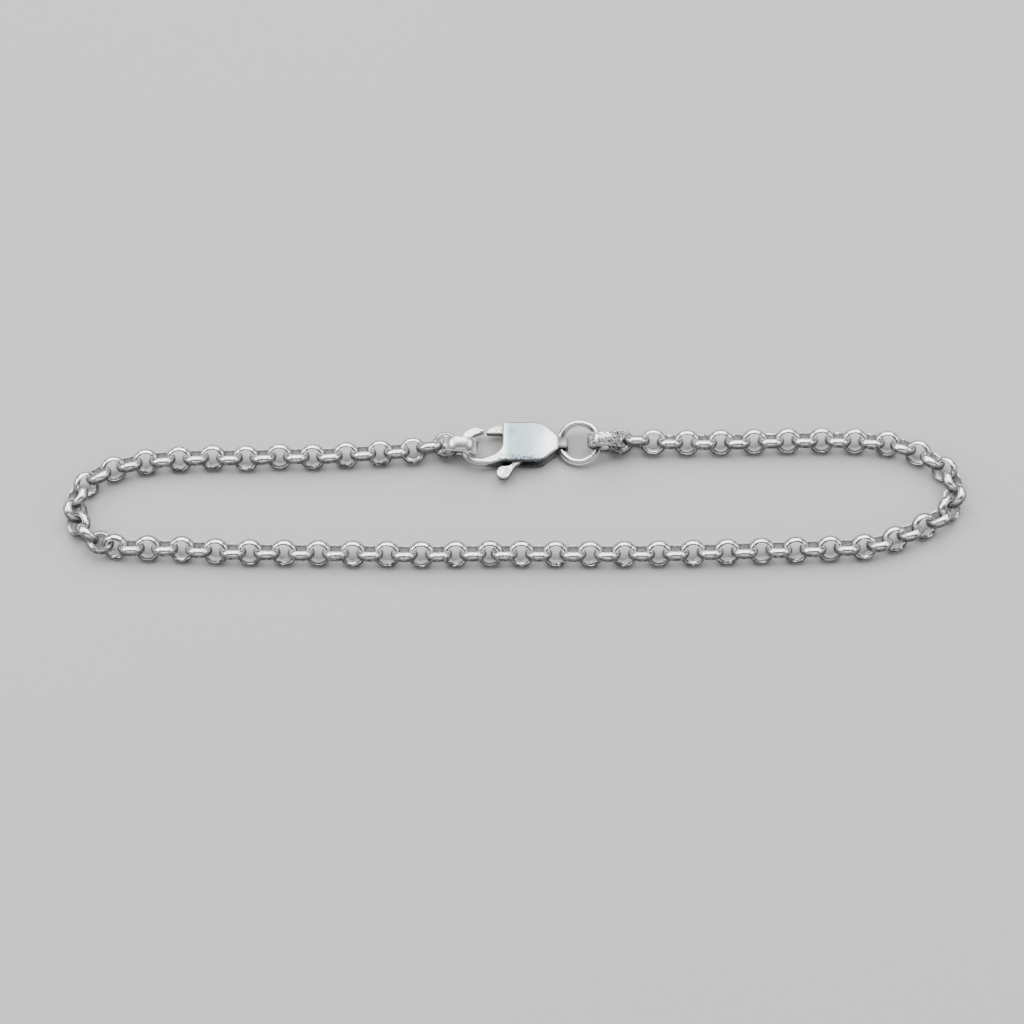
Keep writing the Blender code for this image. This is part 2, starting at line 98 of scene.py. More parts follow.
# Attitudes of the rings, and their eased edges
END_RING_STAND = math.radians(72)
LEFT_RING_YAW = math.radians(-6)
RIGHT_RING_YAW = 0.0
JUMP_RING_TILT = math.radians(17)
JUMP_RING_LIFT = math.radians(9.5)
JUMP_RING_SEAM_AT = math.radians(-50)
JUMP_RING_SEAM = math.radians(1.6)
JUMP_RING_EASE = 0.04 * MM
END_RING_CORNER = 0.20 * MM
END_RING_CROWN = 0.13 * MM

# The clasp's own middle, and its lever's pin from there
CLASP_AT = Vector((1.70 * MM, 5.87 * MM, 0))
PIVOT = Vector((-0.70 * MM, -0.22 * MM, 0))
TAB_AT = Vector((-2.90 * MM, -3.42 * MM, 0))
TAB_RADIUS = 0.72 * MM
PIN_RADIUS = 0.34 * MM
BORE_RADIUS = 0.41 * MM
LEVER_BOTTOM = 0.70 * MM
LEVER_TOP = 1.50 * MM
LEVER_EDGE = 0.10 * MM

# The clasp's plates from above in mm, anticlockwise from the bail: the taper's two sides
TAPER_BACK_MM = [
    (3.00, 0.70), (2.62, 1.00), (2.20, 1.36), (1.75, 1.72), (1.30, 2.02), (0.90, 2.21), (0.45, 2.28),
]  # fmt: skip
TAPER_FRONT_MM = [(0.95, -2.28), (1.35, -2.10), (1.75, -1.76), (2.15, -1.38), (2.55, -1.04), (3.00, -0.70)]
# From the left edge down the inside of the hook's root, and back along the front
ROOT_MM = [
    (-3.00, -0.20), (-3.06, -0.52), (-3.24, -0.86), (-3.50, -1.14), (-3.90, -1.38), (-4.40, -1.55),
    (-5.00, -1.70), (-5.50, -1.82), (-5.50, -2.42), (-5.00, -2.52), (-4.30, -2.48), (-3.60, -2.36),
    (-3.00, -2.28),
]  # fmt: skip

# The filling between the plates in mm, set back from their edges
CORE_MM = [
    (0.45, -1.98), (1.00, -1.98), (1.55, -1.66), (2.85, -0.50), (2.85, 0.50), (1.55, 1.66), (0.45, 1.98),
]  # fmt: skip
CORE_BOTTOM = 0.50 * MM
CORE_BELOW_TOP = 0.35 * MM

# The slot, the bail and its eye in mm: low corner, then high corner with its depth below the clasp's top
SLOT_MM = [(-3.06, -3.2, 0.62), (3.30, 3.2, 0.42)]
BAIL_MM = [(2.20, -0.65, 0.06), (3.98, 0.65, 0.20)]
EYE_MM = [(2.63, -3.0, 0.28), (3.73, 3.0, 0.46)]
BAIL_ROUNDING = 0.30 * MM
EYE_ROUNDING = 0.16 * MM

# The hook's middle line in mm from its root round to its tip (x, y, z), and its share of the bar's thickness
HOOK_MM = [
    (-4.40, -2.04, 1.14, 1.00), (-4.90, -2.11, 1.18, 1.02), (-5.40, -2.13, 1.22, 1.04),
    (-5.85, -2.08, 1.26, 1.04), (-6.35, -1.84, 1.29, 1.02),
    (-6.85, -1.32, 1.33, 1.00), (-7.10, -0.55, 1.33, 1.00), (-7.08, 0.20, 1.33, 1.00),
    (-6.80, 0.86, 1.30, 1.06), (-6.25, 1.30, 1.22, 1.10), (-5.62, 1.50, 1.14, 0.98),
    (-5.05, 1.58, 1.10, 0.74),
]  # fmt: skip
HOOK_STEPS = 70

# Half of a link's band, drawn for a wall of 0.50 and a band of 1.00 (inwards from its outside, along its
# axis): domed outside, a fine groove beside the inner edge, and flat inside
BAND_SHAPE = [
    (0, 0), (0.03, 0.18), (0.09, 0.32), (0.18, 0.44), (0.27, 0.49), (0.345, 0.44), (0.42, 0.50), (0.50, 0.46),
    (0.50, 0),
]  # fmt: skip
BAND_SHAPE_WALL = 0.50
GROOVE_ABOVE_INSIDE = 0.155
# How dark the groove is painted, as shade along it
GROOVE_SHADE = 1.3

# A link's solder seam: where it lies round the link, how far it spreads and how lumpy it is
SEAM_AT = math.radians(-90)
SEAM_SPREAD = math.radians(32)
SEAM_LUMPS = 0.06 * MM
SEAM_KINDS = 4
TONE_STEP = 0.618

# The studio: each softbox's place and size in metres, and its power in watts
SOFTBOXES = {
    "overhead softbox": ((0.0, 0.34, 0.62), (1.10, 0.80), 13.0),
    "front softbox": ((0.0, -0.46, 0.42), (0.80, 0.12), 0.8),
    "left softbox": ((-0.58, 0.04, 0.40), (0.34, 0.24), 2.0),
    "right softbox": ((0.58, 0.02, 0.35), (0.30, 0.20), 1.0),
}
FLOOR_SIZE = 3
ROOM_COLOUR = (0.60, 0.63, 0.66, 1)
ROOM_STRENGTH = 0.05
CAMERA_AT = (-0.3 * MM, -128.34 * MM, 271.89 * MM)
CAMERA_TILT = math.radians(25)
CAMERA_LENS = 99.7
CAMERA_SENSOR = 36
CAMERA_NEAR = 10 * MM


class ChainSizes(bpy.types.PropertyGroup):
    """Sizes of the belcher chain's links."""

    outer: FloatProperty(
        name="Link width",
        description="Width of a link across its outside",
        default=2.87 * MM,
        unit="LENGTH",
    )
    wall: FloatProperty(
        name="Link wall",
        description="Thickness of a link's band, inside to outside",
        default=0.55 * MM,
        unit="LENGTH",
    )
    band: FloatProperty(
        name="Link band",
        description="Width of a link's band along its axis",
        default=1.00 * MM,
        unit="LENGTH",
    )
    pitch: FloatProperty(
        name="Pitch",
        description="Distance from one link's middle to the next",
        default=1.80 * MM,
        unit="LENGTH",
    )


class RingSizes(bpy.types.PropertyGroup):
    """Sizes of the end rings and the jump ring."""

    end_outer: FloatProperty(
        name="End ring",
        description="Width of an end ring across its outside",
        default=3.88 * MM,
        unit="LENGTH",
    )
    end_wall: FloatProperty(
        name="End ring wall",
        description="Thickness of an end ring's band",
        default=0.50 * MM,
        unit="LENGTH",
    )
    end_band: FloatProperty(
        name="End ring band",
        description="Width of an end ring's band",
        default=1.60 * MM,
        unit="LENGTH",
    )
    jump_outer: FloatProperty(
        name="Jump ring",
        description="Width of the jump ring across its outside",
        default=4.95 * MM,
        unit="LENGTH",
    )
    jump_wire: FloatProperty(
        name="Jump ring wire",
        description="Thickness of the jump ring's wire",
        default=0.78 * MM,
        unit="LENGTH",
    )


class ClaspSizes(bpy.types.PropertyGroup):
    """Sizes of the lobster clasp."""

    thickness: FloatProperty(
        name="Thickness",
        description="Thickness over both plates",
        default=2.00 * MM,
        unit="LENGTH",
    )
    half_width: FloatProperty(
        name="Half width",
        description="From the clasp's middle line to its side",
        default=2.28 * MM,
        unit="LENGTH",
    )
    half_length: FloatProperty(
        name="Half length",
        description="From the plates' middle to their left edge",
        default=3.00 * MM,
        unit="LENGTH",
    )
    hook_wire: FloatProperty(
        name="Hook bar",
        description="Thickness of the hook's bar",
        default=0.90 * MM,
        unit="LENGTH",
    )
    edge: FloatProperty(
        name="Edge",
        description="Width of the plates' rounded edge",
        default=0.22 * MM,
        unit="LENGTH",
    )


class SilverLooks(bpy.types.PropertyGroup):
    """Colours of the metal and the floor."""

    silver: FloatVectorProperty(
        name="Silver",
        description="Colour of clean polished silver",
        default=(0.90, 0.90, 0.89),
        subtype="COLOR",
    )
    # The tarnish colour also paints shade: on undersides and in the links' grooves
    tarnish_and_shade: FloatVectorProperty(
        name="Tarnish",
        description="Colour of silver in hollows and pits",
        default=(0.07, 0.075, 0.075),
        subtype="COLOR",
    )
    # Partly the satin's own cool tone, partly painted shade: it is mixed up to the silver colour where the
    # plate's highlights are painted
    plate: FloatVectorProperty(
        name="Plate",
        description="Colour of the clasp's satin plate",
        default=(0.29, 0.37, 0.41),
        subtype="COLOR",
    )
    floor: FloatVectorProperty(
        name="Floor",
        description="Colour of the floor",
        default=(0.54, 0.54, 0.53),
        subtype="COLOR",
    )


class Amount:
    """A number that varies over a surface: sums and products of it add Math nodes."""

    def __init__(self, graph, socket):
        self.graph = graph
        self.socket = socket

    def calc(self, operation, first, second):
        return self.graph.node("ShaderNodeMath", {"operation": operation}, {0: first, 1: second})

    def __add__(self, other):
        return self.calc("ADD", self, other)

    def __radd__(self, other):
        return self.calc("ADD", other, self)

    def __rsub__(self, other):
        return self.calc("SUBTRACT", other, self)

    def __mul__(self, other):
        return self.calc("MULTIPLY", self, other)

    def between(self, low, high):
        """0 at low, 1 at high, smoothly."""
        return self.graph.node(
            "ShaderNodeMapRange",
            {"interpolation_type": "SMOOTHSTEP"},
            {"Value": self, "From Min": low, "From Max": high},
        )


class Graph:
    """The nodes of one material."""

    def __init__(self, name):
        self.material = bpy.data.materials.new(name)
        self.material.use_nodes = True
        self.tree = self.material.node_tree
        self.shader = self.tree.nodes["Principled BSDF"]

    def feed(self, socket, value):
        if isinstance(value, Amount):
            self.tree.links.new(value.socket, socket)
        elif hasattr(value, "__len__") and len(value) == 3 and socket.type == "RGBA":
            socket.default_value = (*value, 1)
        else:
            socket.default_value = value

    def node(self, kind, settings=None, inputs=None, output=0):
        """A node of this type, with its settings made first and its sockets fed; one of its outputs."""
        made = self.tree.nodes.new(kind)
        for name, value in (settings or {}).items():
            setattr(made, name, value)
        for name, value in (inputs or {}).items():
            self.feed(made.inputs[name], value)
        return Amount(self, made.outputs[output])

    def place(self):
        return self.node("ShaderNodeTexCoord", output="Object")

    def noise(self, scale, detail, roughness):
        sockets = {"Vector": self.place(), "Scale": scale, "Detail": detail, "Roughness": roughness}
        return self.node("ShaderNodeTexNoise", inputs=sockets)

    def mix(self, share, first, second):
        """A colour between two."""
        return self.node("ShaderNodeMix", {"data_type": "RGBA"}, {0: share, 6: first, 7: second}, output=2)

    def underside_shade(self, low, high):
        """A mask for painted shade: 1 where the surface faces up by less than low, 0 where by more than high.
        """
        return 1 - self.attribute("facing up").between(low, high)

    def attribute(self, name):
        return self.node("ShaderNodeAttribute", {"attribute_name": name}, output="Fac")

    def bump(self, height, strength, distance):
        sockets = {"Height": height, "Strength": strength, "Distance": distance}
        return self.node("ShaderNodeBump", inputs=sockets)

    def paint(self, **sockets):
        """Feeds the shader: underscores in a name stand for spaces."""
        for name, value in sockets.items():
            self.feed(self.shader.inputs[name.replace("_", " ")], value)
        return self.material


def silver(graph, looks, clean, dark, roughness, normal, frosted=None):
    """Bare metal where it is clean, a dull dark skin where tarnish and painted shade darken it, and white
    where it is frosted.
    """
    metallic = 1 - dark * 0.75
    if frosted is not None:
        metallic = metallic * (1 - frosted * 0.65)
    return graph.paint(
        Base_Color=graph.mix(dark, clean, looks.tarnish_and_shade),
        Metallic=metallic,
        Roughness=roughness + dark * 0.30,
        Normal=normal,
    )


def chain_silver(looks):
    """Polished links, speckled with fine pits and tarnish, with painted shade underneath and in their
    grooves.
    """
    graph = Graph("chain silver")
    speckle = graph.noise(2600, 3, 0.65)
    patches = graph.noise(520, 2, 0.5)
    pits = graph.noise(5200, 2, 0.6)
    inside = graph.attribute("inside")
    # Painted shade on surfaces facing down, broken by speckle and mostly kept off the inner face
    under_shade = graph.underside_shade(0.38, 0.90) * (1.0 - speckle.between(0.50, 0.62) * 0.50) * (1 - inside * 0.85)
    # Dark specks of pits and tarnish, denser on the inner face, where they also stand in for its shade
    specks = speckle.between(0.56, 0.66) * (0.15 + graph.attribute("tone") * 0.25 + inside * 0.55)
    # Worn inner edges lose most of the darkening: wear rubs off tarnish, and they are kept bright as a
    # painted highlight; the groove is painted dark as shade
    dark = (under_shade * 0.95 + specks) * (1 - graph.attribute("worn_and_highlit") * 0.8) + graph.attribute("groove")
    height = pits.between(0.30, 0.62) * 0.5 + speckle * 0.5
    roughness = 0.14 + patches * 0.12 + speckle * 0.10 + inside * 0.14
    normal = graph.bump(height, 0.25, 0.02 * MM)
    return silver(graph, looks, looks.silver, dark.between(0, 1), roughness, normal, frosted=inside)


def bright_silver(looks, gloss=0.16):
    """Smooth, clean and polished, with only faint handling marks, and painted shade on its undersides."""
    graph = Graph("bright silver")
    patches = graph.noise(900, 2, 0.5)
    marks = graph.noise(3800, 3, 0.6)
    dark = marks.between(0.60, 0.76) * 0.30 + graph.underside_shade(-0.70, 0.20) * 0.65
    roughness = gloss + patches * 0.14
    normal = graph.bump(marks, 0.18, 0.02 * MM)
    return silver(graph, looks, looks.silver, dark.between(0, 1), roughness, normal)


def pitted_silver(looks, depth=1.0):
    """A cast skin: bright, with many small dark pits, and painted shade on its undersides."""
    graph = Graph("pitted silver")
    pits = graph.noise(4300, 4, 0.66)
    where = graph.noise(900, 2, 0.6)
    deep = pits.between(0.47, 0.57) * where.between(0.30, 0.52)
    grain = graph.noise(6200, 3, 0.6)
    dark = deep * depth + grain.between(0.56, 0.72) * 0.3 + graph.underside_shade(-0.2, 0.5) * 0.8
    normal = graph.bump(1 - deep + grain * 0.3, 0.55, 0.04 * MM)
    return silver(graph, looks, looks.silver, dark.between(0, 1), 0.18 + grain * 0.10, normal)


def satin_plate(looks):
    """The clasp's cast plate: cool satin, painted lighter at both ends as highlights, speckled dark along its
    front.
    """
    graph = Graph("satin plate")
    grain = graph.noise(5200, 3, 0.6)
    cloud = graph.noise(520, 3, 0.55)
    across = graph.node("ShaderNodeSeparateXYZ", inputs={"Vector": graph.place()}, output="X")
    back = graph.node("ShaderNodeSeparateXYZ", inputs={"Vector": graph.place()}, output="Y")

    def past(low, high):
        """0 left of low and 1 right of high, both in mm from the clasp's middle."""
        return across.between(CLASP_AT.x + low * MM, CLASP_AT.x + high * MM)

    front = 1 - back.between(CLASP_AT.y - 2.25 * MM, CLASP_AT.y - 0.95 * MM)
    plates = past(-3.9, -2.9)
    specks = graph.noise(3400, 3, 0.65).between(0.66 - front * 0.24, 0.74 - front * 0.20) * front * plates
    hook = 1 - past(-2.95, -2.25)
    # Painted highlight: the hook and the right-hand facets are painted towards bright silver where light
    # falls on them
    painted_highlight = hook * 0.8 + past(-0.6, 1.5) * 0.45 + past(0.9, 2.1) * 0.55
    bail = past(2.7, 3.0) * 0.55
    # Painted shade on the undersides; the bail end is made darker too
    dark = specks * 0.75 + cloud.between(0.40, 0.75) * 0.30 + graph.underside_shade(-0.1, 0.60) * 0.9 + bail
    roughness = 0.20 + grain * 0.12 + cloud * 0.08
    clean = graph.mix(painted_highlight, looks.plate, looks.silver)
    normal = graph.bump(grain + specks * -0.8, 0.30, 0.02 * MM)
    return silver(graph, looks, clean, dark.between(0, 1), roughness, normal)


def floor_paint(looks):
    """Matt pale paint, faintly clouded."""
    graph = Graph("floor paint")
    cloud = graph.noise(14, 3, 0.5)
    darker = [value * 0.96 for value in looks.floor]
    return graph.paint(Base_Color=graph.mix(cloud, looks.floor, darker), Roughness=0.62 + cloud * 0.10)


def deselect_all():
    for obj in list(bpy.context.selected_objects):
        obj.select_set(False)


def only(obj):
    """Selects one object and makes it the active one."""
    deselect_all()
    obj.select_set(True)
    bpy.context.view_layer.objects.active = obj


def added(operator, **settings):
    """The object that an adding operator makes."""
    deselect_all()
    operator(**settings)
    return bpy.context.view_layer.objects.active


def edit(obj):
    only(obj)
    bpy.ops.object.mode_set(mode="EDIT")


def done():
    bpy.ops.object.mode_set(mode="OBJECT")


def applied(obj, kind, **settings):
    """Puts a modifier on the object and applies it."""
    step = obj.modifiers.new(kind.lower(), kind)
    for name, value in settings.items():
        setattr(step, name, value)
    only(obj)
    bpy.ops.object.modifier_apply(modifier=step.name)
    return obj


def combined(obj, other, operation):
    """Joins or cuts with another object, which is then removed."""
    applied(obj, "BOOLEAN", operation=operation, solver="EXACT", object=other)
    bpy.data.objects.remove(other, do_unlink=True)


def rest_place(obj):
    """Applies the object's own place, so that it sits at the origin, unturned."""
    only(obj)
    bpy.ops.object.transform_apply(location=True, rotation=True, scale=True)
    return obj


def close_up(obj):
    """Merges doubles and turns all faces outwards."""
    edit(obj)
    bpy.ops.mesh.select_all(action="SELECT")
    bpy.ops.mesh.remove_doubles(threshold=WELD)
    bpy.ops.mesh.normals_make_consistent(inside=False)
    done()
    return obj


def flat_faces(obj):
    """Shades the big faces flat right up to their rounded edges."""
    only(obj)
    bpy.ops.object.shade_smooth_by_angle(angle=math.radians(35))
    applied(obj, "WEIGHTED_NORMAL", mode="FACE_AREA", weight=100, keep_sharp=True)


def finished(obj, name, material, nodes, body="root", angle=50):
    """Names, shades and paints a piece, and sets it in place of its solids; angle 0 keeps its shading."""
    obj.name = name
    obj.data.name = name
    obj.data.materials.clear()
    obj.data.materials.append(material)
    if angle:
        only(obj)
        bpy.ops.object.shade_smooth_by_angle(angle=math.radians(angle))
    # How far each corner faces up, kept for the materials' painted shade on undersides
    facing = obj.data.attributes.new("facing up", "FLOAT", "CORNER")
    facing.data.foreach_set("value", [normal.vector.z for normal in obj.data.corner_normals])
    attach(obj, body)
    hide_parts(*nodes)


def smooth_line(points, step):
    """Points every step or so along a smooth curve through the given ones."""
    points = np.array(points, float)
    along = np.concatenate([[0], np.cumsum(np.linalg.norm(np.diff(points, axis=0), axis=1))])
    slopes = np.gradient(points, along, axis=0)
    dense = np.linspace(0, along[-1], int(along[-1] / step) + 1)
    span = np.clip(np.searchsorted(along, dense, side="right") - 1, 0, len(points) - 2)
    length = (along[span + 1] - along[span])[:, None]
    t = ((dense - along[span])[:, None]) / length
    return (
        points[span] * (2 * t**3 - 3 * t**2 + 1)
        + points[span + 1] * (3 * t**2 - 2 * t**3)
        + slopes[span] * length * (t**3 - 2 * t**2 + t)
        + slopes[span + 1] * length * (t**3 - t**2)
    )


def link_centres(sizes):
    """Middles of the links along the route: a pitch apart, closer in the bends and where the halves meet."""
    line = smooth_line(np.array(ROUTE_MM) * MM, sizes.pitch / 40)
    along = np.concatenate([[0], np.cumsum(np.linalg.norm(np.diff(line, axis=0), axis=1))])
    heading = np.unwrap(np.arctan2(*np.gradient(line, axis=0).T[::-1]))
    places = [0.0]
    for number in range(LINK_COUNT - 1):
        ends = np.interp([places[-1] - sizes.pitch / 2, places[-1] + sizes.pitch / 2], along, heading)
        step = sizes.pitch - BEND_SLACK * min(1, abs(ends[1] - ends[0]) / BEND_ANGLE)
        if number == LAST_LEFT_LINK:
            step = sizes.outer - 2 * SOLID_WIRE - HALVES_GAP
        places.append(places[-1] + step)
    places = np.array(places) * along[-1] / places[-1]
    return np.column_stack([np.interp(places, along, line[:, k]) for k in range(2)])


def smooth_step(value):
    value = min(1, max(0, value))
    return value * value * (3 - 2 * value)


def end_share(number):
    """1 for the links next to the end rings, less for each link further from them."""
    return END_SHARE_KEPT ** min(number, LINK_COUNT - 1 - number)


def link_roll(number):
    """The angle of a link's plane above the outward direction."""
    roll = LINK_LEAN if number % 2 == 0 else LINK_LEAN + math.radians(90)
    roll += TWIST * smooth_step((number - TWIST_FROM) / (TWIST_TO - TWIST_FROM))
    return roll + END_ROLL * end_share(number)


def link_rest_height(sizes, stand):
    """How high a solid link's middle is when it touches the surface, its plane at this angle to it."""
    outer = sizes.outer / 2
    corners = [(outer, SOLID_BAND_FLAT / 2), (outer - SOLID_WIRE / 2, sizes.band / 2)]
    return max(radius * abs(math.sin(stand)) + height * abs(math.cos(stand)) for radius, height in corners)


def placing(centre, along, across):
    """The matrix that puts a ring at its centre, with these two directions in its plane."""
    axis = along.cross(across).normalized()
    turn = Matrix((along, axis.cross(along), axis)).transposed()
    return Matrix.Translation(centre) @ turn.to_4x4()


def link_placings(sizes):
    centres = link_centres(sizes)
    ahead = np.gradient(centres, axis=0)
    made = []
    for number, (centre, course) in enumerate(zip(centres, ahead)):
        along = Vector((*course, 0)).normalized()
        outward = Vector((along.y, -along.x, 0))
        roll = link_roll(number)
        height = max(link_rest_height(sizes, stand) for stand in (LINK_LEAN, roll))
        height += END_RISE * end_share(number)
        across = outward * math.cos(roll) + UP * math.sin(roll)
        made.append(placing(Vector((*centre, height)), along, across))
    return made


def spun_ring(section, steps, angle=2 * math.pi):
    """A ring about Z from a section that stands in the XZ plane; an open ring has its ends filled."""
    edit(section)
    bpy.ops.mesh.select_all(action="SELECT")
    bpy.ops.mesh.spin(steps=steps, angle=angle, center=(0, 0, 0), axis=(0, 0, 1))
    bpy.ops.mesh.select_all(action="SELECT")
    bpy.ops.mesh.remove_doubles(threshold=WELD)
    bpy.ops.mesh.fill_holes(sides=0)
    bpy.ops.mesh.select_all(action="SELECT")
    bpy.ops.mesh.normals_make_consistent(inside=False)
    done()
    return section


def wire_section(middle, wire):
    """A round wire's section in the XZ plane, this far from Z."""
    section = added(
        bpy.ops.mesh.primitive_circle_add,
        vertices=JUMP_RING_SIDES, radius=wire / 2, rotation=(math.pi / 2, 0, 0),
    )
    section.location.x = middle
    return rest_place(section)


def band_section(outer, wall, band):
    """A closed band's section in the XZ plane: rounded corners, and a slightly crowned outside."""
    section = added(bpy.ops.mesh.primitive_plane_add, size=band, rotation=(math.pi / 2, 0, 0))
    section.location.x = outer - wall / 2
    rest_place(section)
    edit(section)
    bpy.ops.mesh.select_all(action="SELECT")
    bpy.ops.transform.resize(value=(wall / band, 1, 1), center_override=(outer - wall / 2, 0, 0))
    bpy.ops.mesh.bevel(offset=END_RING_CORNER, segments=4, affect="VERTICES")
    bpy.ops.mesh.delete(type="ONLY_FACE")
    bpy.ops.mesh.select_all(action="SELECT")
    bpy.ops.mesh.subdivide(number_cuts=2)
    done()
    for vertex in section.data.vertices:
        vertex.co.x -= END_RING_CROWN * (2 * vertex.co.z / band) ** 2
    return section


def one_link(sizes):
    """A belcher link about Z, knowing its inner face, its worn edges' painted highlight and its groove's
    painted shade.
    """
    half = [(across * sizes.wall / BAND_SHAPE_WALL, along * sizes.band) for across, along in BAND_SHAPE]
    profile = half + [(across, -along) for across, along in half[-2:0:-1]]
    section = added(bpy.ops.mesh.primitive_circle_add, vertices=len(profile), radius=MM)
    for vertex, (across, along) in zip(section.data.vertices, profile):
        vertex.co = (sizes.outer / 2 - across, 0, along)
    link = spun_ring(section, LINK_STEPS)
    inner = sizes.outer / 2 - sizes.wall
    above = [(math.hypot(v.co.x, v.co.y) - inner) / sizes.wall for v in link.data.vertices]
    aside = [abs(v.co.z) / sizes.band for v in link.data.vertices]
    groove = GROOVE_ABOVE_INSIDE / BAND_SHAPE_WALL
    # Inner edges are marked worn, to be kept bright as a painted highlight; the groove is marked to be
    # painted dark as shade
    marks = {
        "inside": [d < 0.05 and a < 0.1 for d, a in zip(above, aside)],
        "worn_and_highlit": [d < 0.2 and a > 0.3 for d, a in zip(above, aside)],
        "groove": [GROOVE_SHADE * (abs(d - groove) < 0.05) for d in above],
    }
    for name, values in marks.items():
        mark = link.data.attributes.new(name, "FLOAT", "POINT")
        mark.data.foreach_set("value", [float(v) for v in values])
    return link


def soldered_link(link, number):
    """A copy of the link with small lumps and nicks at its solder seam."""
    only(link)
    bpy.ops.object.duplicate()
    copy = bpy.context.view_layer.objects.active
    edit(copy)
    bpy.ops.mesh.select_mode(type="VERT")
    bpy.ops.mesh.select_all(action="DESELECT")
    done()
    for vertex in copy.data.vertices:
        turn = math.atan2(vertex.co.y, vertex.co.x)
        away = abs((turn - SEAM_AT + math.pi) % (2 * math.pi) - math.pi)
        vertex.select = away < SEAM_SPREAD
    edit(copy)
    bpy.ops.transform.vertex_random(offset=SEAM_LUMPS, uniform=0.3, normal=0.6, seed=number)
    done()
    return copy


def build_chain(context):
    """Both halves of the chain: copies of plain and soldered links, each in its place along the route."""
    sizes = context.scene.bracelet_chain
    material = chain_silver(context.scene.bracelet_looks)
    places = link_placings(sizes)
    plain = one_link(sizes)
    kinds = [plain] + [soldered_link(plain, number) for number in range(1, SEAM_KINDS + 1)]
    halves = {"chain_left": range(LAST_LEFT_LINK + 1), "chain_right": range(LAST_LEFT_LINK + 1, LINK_COUNT)}
    for node, numbers in halves.items():
        links = []
        for number in numbers:
            # Odd links are plain, and even ones take the kinds by turns
            kind = kinds[(number * 7 // 2) % len(kinds) if number % 2 == 0 else 0]
            mesh = kind.data.copy()
            mesh.transform(places[number])
            for vertex in mesh.vertices:
                vertex.co.z = max(0, vertex.co.z)
            tone = mesh.attributes.new("tone", "FLOAT", "POINT")
            tone.data.foreach_set("value", [(number * TONE_STEP) % 1] * len(mesh.vertices))
            link = bpy.data.objects.new(node, mesh)
            context.scene.collection.objects.link(link)
            links.append(link)
        deselect_all()
        for link in links:
            link.select_set(True)
        context.view_layer.objects.active = links[0]
        bpy.ops.object.join()
        finished(links[0], f"{node}_links", material, [node])
    for kind in kinds:
        bpy.data.objects.remove(kind, do_unlink=True)


def middle_of(node):
    low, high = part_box(node)
    return (Vector(low) + Vector(high)) / 2


def build_end_rings(context):
    """The two wide bands that end the chain: the left one smooth, the right one pitted."""
    sizes = context.scene.bracelet_rings
    looks = context.scene.bracelet_looks
    finishes = {
        "end_ring_left": (LEFT_RING_YAW, bright_silver(looks, gloss=0.24)),
        "end_ring_right": (RIGHT_RING_YAW, pitted_silver(looks)),
    }
    for node, (yaw, material) in finishes.items():
        section = band_section(sizes.end_outer / 2, sizes.end_wall, sizes.end_band)
        ring = spun_ring(section, END_RING_STEPS)
        along = Vector((math.cos(yaw), math.sin(yaw), 0))
        back = Vector((-along.y, along.x, 0))
        across = UP * math.sin(END_RING_STAND) - back * math.cos(END_RING_STAND)
        ring.data.transform(placing(middle_of(node), along, across))
        lowest = min(vertex.co.z for vertex in ring.data.vertices)
        ring.data.transform(Matrix.Translation(UP * max(0, -lowest)))
        finished(ring, f"{node}_band", material, [node])


def build_jump_ring(context):
    """Round wire bent to a ring, with the fine seam where its ends meet."""
    sizes = context.scene.bracelet_rings
    material = bright_silver(context.scene.bracelet_looks)
    section = wire_section((sizes.jump_outer - sizes.jump_wire) / 2, sizes.jump_wire)
    ring = spun_ring(section, JUMP_RING_STEPS, 2 * math.pi - JUMP_RING_SEAM)
    ring.data.transform(Matrix.Rotation(JUMP_RING_SEAM_AT, 4, "Z"))
    rounded(ring, JUMP_RING_EASE, 2)
    along = Vector((math.cos(JUMP_RING_LIFT), 0, math.sin(JUMP_RING_LIFT)))
    across = Vector((0, math.cos(JUMP_RING_TILT), math.sin(JUMP_RING_TILT)))
    across = (across - along * across.dot(along)).normalized()
    ring.data.transform(placing(middle_of("jump_ring"), along, across))
    finished(ring, "jump_ring_wire", material, ["jump_ring"])


def arc(centre, radius, start, end, count):
    """Points along an arc, its ends in degrees."""
    angles = [math.radians(start + (end - start) * k / (count - 1)) for k in range(count)]
    return [(centre[0] + radius * math.cos(a), centre[1] + radius * math.sin(a)) for a in angles]


def outline_curve(points, closed):
    """A curve object through these points, which are (x, y) or (x, y, z, thickness)."""
    guide = added(bpy.ops.curve.primitive_bezier_curve_add)
    guide.data.splines.clear()
    line = guide.data.splines.new("POLY")
    line.points.add(len(points) - 1)
    for point, values in zip(line.points, points):
        x, y, z, thick = values if len(values) == 4 else (*values, 0, 1)
        point.co = (x, y, z, 1)
        point.radius = thick
    line.use_cyclic_u = closed
    return guide


def as_mesh(guide):
    """The mesh of a curve, with the curve's own place made part of it."""
    only(guide)
    bpy.ops.object.convert(target="MESH")
    return close_up(rest_place(bpy.context.view_layer.objects.active))


def plate(points, bottom, top, edge=0):
    """A flat piece of this outline, its edges rounded by this much."""
    guide = outline_curve(points, True)
    guide.data.dimensions = "2D"
    guide.data.fill_mode = "BOTH"
    guide.data.extrude = (top - bottom) / 2 - edge
    guide.data.bevel_depth = edge
    guide.data.bevel_resolution = 3
    guide.data.offset = -edge
    guide.location = (0, 0, (top + bottom) / 2)
    made = as_mesh(guide)
    edit(made)
    bpy.ops.mesh.select_all(action="SELECT")
    bpy.ops.mesh.dissolve_limited(angle_limit=math.radians(0.5))
    done()
    return made


def block(corners_mm, thick):
    """A block between two corners, the upper one's height given from the clasp's top down."""
    low, high = (Vector(corner) for corner in in_mm(corners_mm))
    high.z = thick - high.z
    made = added(bpy.ops.mesh.primitive_cube_add, size=1, location=(low + high) / 2)
    made.scale = high - low
    return rest_place(made)


